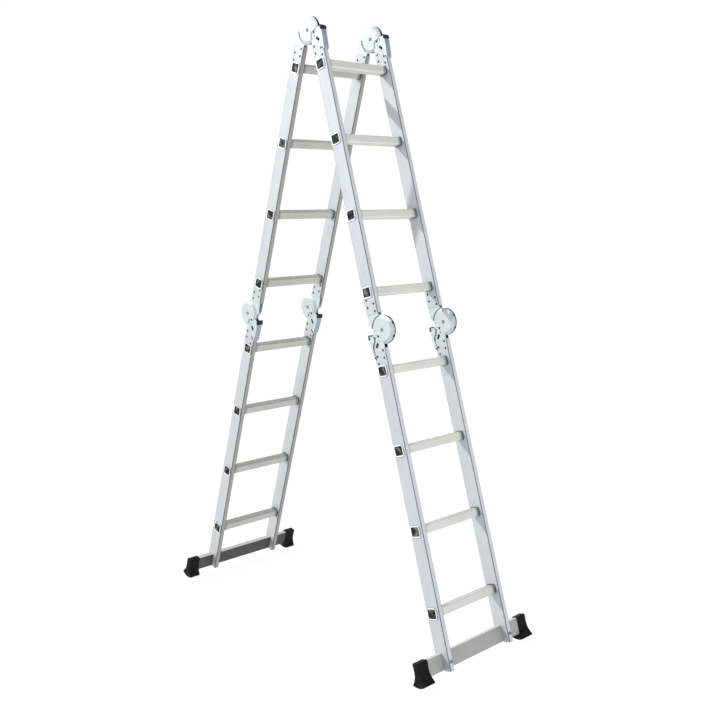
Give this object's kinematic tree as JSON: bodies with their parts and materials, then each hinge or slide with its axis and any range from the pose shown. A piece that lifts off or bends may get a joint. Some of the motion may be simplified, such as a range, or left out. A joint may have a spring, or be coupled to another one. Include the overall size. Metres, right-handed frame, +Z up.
{
  "type": "multi position ladder",
  "caption": "Hinged multi position ladder standing as a step ladder, with locking hinges, release levers, box rungs and wide stabiliser bars in rubber boots.",
  "frame": {"origin": "on the floor, in the middle of the four feet", "axes": "+Z up, +X along the rungs, +Y from the leg with the release levers at its top towards the other leg"},
  "size_m": [0.59, 1.4016, 2.266],
  "materials": {
    "stile_aluminium": "extruded, satin",
    "rung_aluminium": "extruded with ribbed treads, satin",
    "plug_plastic": "moulded, light grey",
    "hinge_steel": "pressed sheet steel, bright zinc",
    "pin_steel": "zinc plated",
    "lever_steel": "pressed sheet steel, blue-grey",
    "cap_plastic": "moulded, black",
    "lock_steel": "hardened steel, dark zinc",
    "bar_aluminium": "extruded tube, mill finish",
    "boot_rubber": "moulded, black",
    "bolt_steel": "zinc plated"
  },
  "bodies": {
    "upper_front": {"upper_front_left_stile": "stile_aluminium", "upper_front_right_stile": "stile_aluminium", "upper_front_rungs": "rung_aluminium", "upper_front_rung_plugs": "plug_plastic", "upper_front_rivets": "pin_steel", "top_left_hinge_cover": "hinge_steel", "top_right_hinge_cover": "hinge_steel", "top_hinge_pins": "pin_steel", "top_lever_springs": "lock_steel", "front_notch_arms": "hinge_steel"},
    "upper_back": {"upper_back_left_stile": "stile_aluminium", "upper_back_right_stile": "stile_aluminium", "upper_back_rungs": "rung_aluminium", "upper_back_rung_plugs": "plug_plastic", "upper_back_rivets": "pin_steel", "top_notch_arms": "hinge_steel", "back_notch_arms": "hinge_steel"},
    "lower_front": {"lower_front_left_stile": "stile_aluminium", "lower_front_right_stile": "stile_aluminium", "lower_front_rungs": "rung_aluminium", "lower_front_rung_plugs": "plug_plastic", "lower_front_rivets": "pin_steel", "front_left_hinge_cover": "hinge_steel", "front_right_hinge_cover": "hinge_steel", "front_hinge_pins": "pin_steel", "front_lever_springs": "lock_steel", "front_stabiliser_bar": "bar_aluminium", "front_boots": "boot_rubber", "front_bar_bolts": "bolt_steel"},
    "lower_back": {"lower_back_left_stile": "stile_aluminium", "lower_back_right_stile": "stile_aluminium", "lower_back_rungs": "rung_aluminium", "lower_back_rung_plugs": "plug_plastic", "lower_back_rivets": "pin_steel", "back_left_hinge_cover": "hinge_steel", "back_right_hinge_cover": "hinge_steel", "back_hinge_pins": "pin_steel", "back_lever_springs": "lock_steel", "back_stabiliser_bar": "bar_aluminium", "back_boots": "boot_rubber", "back_bar_bolts": "bolt_steel"},
    "top_left_lever": {"top_left_release_lever": "lever_steel", "top_left_lever_cap": "cap_plastic"},
    "top_left_lock": {"top_left_lock_bar": "lock_steel"},
    "top_right_lever": {"top_right_release_lever": "lever_steel", "top_right_lever_cap": "cap_plastic"},
    "top_right_lock": {"top_right_lock_bar": "lock_steel"},
    "front_left_lever": {"front_left_release_lever": "lever_steel", "front_left_lever_cap": "cap_plastic"},
    "front_left_lock": {"front_left_lock_bar": "lock_steel"},
    "front_right_lever": {"front_right_release_lever": "lever_steel", "front_right_lever_cap": "cap_plastic"},
    "front_right_lock": {"front_right_lock_bar": "lock_steel"},
    "back_left_lever": {"back_left_release_lever": "lever_steel", "back_left_lever_cap": "cap_plastic"},
    "back_left_lock": {"back_left_lock_bar": "lock_steel"},
    "back_right_lever": {"back_right_release_lever": "lever_steel", "back_right_lever_cap": "cap_plastic"},
    "back_right_lock": {"back_right_lock_bar": "lock_steel"}
  },
  "joints": [
    {"name": "top_fold", "type": "hinge", "parent": "upper_front", "child": "upper_back", "pos_m": [0, -0.00677, 2.21599], "axis": [1, 0, 0], "range_deg": [-31.2, 147.8]},
    {"name": "front_fold", "type": "hinge", "parent": "upper_front", "child": "lower_front", "pos_m": [0, -0.38173, 1.1585], "axis": [1, 0, 0], "range_deg": [-179, 0]},
    {"name": "back_fold", "type": "hinge", "parent": "upper_back", "child": "lower_back", "pos_m": [0, 0.3682, 1.1585], "axis": [-1, 0, 0], "range_deg": [-179, 0]},
    {"name": "top_left_lever_pull", "type": "hinge", "parent": "upper_front", "child": "top_left_lever", "pos_m": [-0.1615, -0.08707, 2.14549], "axis": [-1, 0, 0], "range_deg": [-8, 4.5], "stiffness_Nm_per_rad": 3},
    {"name": "top_left_lock_slide", "type": "slide", "parent": "upper_front", "child": "top_left_lock", "axis": [0, -0.8202, -0.5721], "range_m": [-0.005, 0.0088]},
    {"name": "top_right_lever_pull", "type": "hinge", "parent": "upper_front", "child": "top_right_lever", "pos_m": [0.1615, -0.08707, 2.14549], "axis": [-1, 0, 0], "range_deg": [-8, 4.5], "stiffness_Nm_per_rad": 3},
    {"name": "top_right_lock_slide", "type": "slide", "parent": "upper_front", "child": "top_right_lock", "axis": [0, -0.8202, -0.5721], "range_m": [-0.005, 0.0088]},
    {"name": "front_left_lever_pull", "type": "hinge", "parent": "lower_front", "child": "front_left_lever", "pos_m": [-0.1615, -0.35135, 1.05605], "axis": [-1, 0, 0], "range_deg": [-4.5, 8], "stiffness_Nm_per_rad": 3},
    {"name": "front_left_lock_slide", "type": "slide", "parent": "lower_front", "child": "front_left_lock", "axis": [0, 0.3891, -0.9212], "range_m": [-0.005, 0.0088]},
    {"name": "front_right_lever_pull", "type": "hinge", "parent": "lower_front", "child": "front_right_lever", "pos_m": [0.1615, -0.35135, 1.05605], "axis": [-1, 0, 0], "range_deg": [-4.5, 8], "stiffness_Nm_per_rad": 3},
    {"name": "front_right_lock_slide", "type": "slide", "parent": "lower_front", "child": "front_right_lock", "axis": [0, 0.3891, -0.9212], "range_m": [-0.005, 0.0088]},
    {"name": "back_left_lever_pull", "type": "hinge", "parent": "lower_back", "child": "back_left_lever", "pos_m": [-0.1615, 0.33782, 1.05605], "axis": [1, 0, 0], "range_deg": [-4.5, 8], "stiffness_Nm_per_rad": 3},
    {"name": "back_left_lock_slide", "type": "slide", "parent": "lower_back", "child": "back_left_lock", "axis": [0, -0.3891, -0.9212], "range_m": [-0.005, 0.0088]},
    {"name": "back_right_lever_pull", "type": "hinge", "parent": "lower_back", "child": "back_right_lever", "pos_m": [0.1615, 0.33782, 1.05605], "axis": [1, 0, 0], "range_deg": [-4.5, 8], "stiffness_Nm_per_rad": 3},
    {"name": "back_right_lock_slide", "type": "slide", "parent": "lower_back", "child": "back_right_lock", "axis": [0, -0.3891, -0.9212], "range_m": [-0.005, 0.0088]}
  ],
  "couplings": [
    {"joint": "top_left_lock_slide", "follows": "top_left_lever_pull", "m_per_rad": -0.0625},
    {"joint": "top_right_lock_slide", "follows": "top_right_lever_pull", "m_per_rad": -0.0625},
    {"joint": "front_left_lock_slide", "follows": "front_left_lever_pull", "m_per_rad": 0.0625},
    {"joint": "front_right_lock_slide", "follows": "front_right_lever_pull", "m_per_rad": 0.0625},
    {"joint": "back_left_lock_slide", "follows": "back_left_lever_pull", "m_per_rad": 0.0625},
    {"joint": "back_right_lock_slide", "follows": "back_right_lever_pull", "m_per_rad": 0.0625}
  ]
}
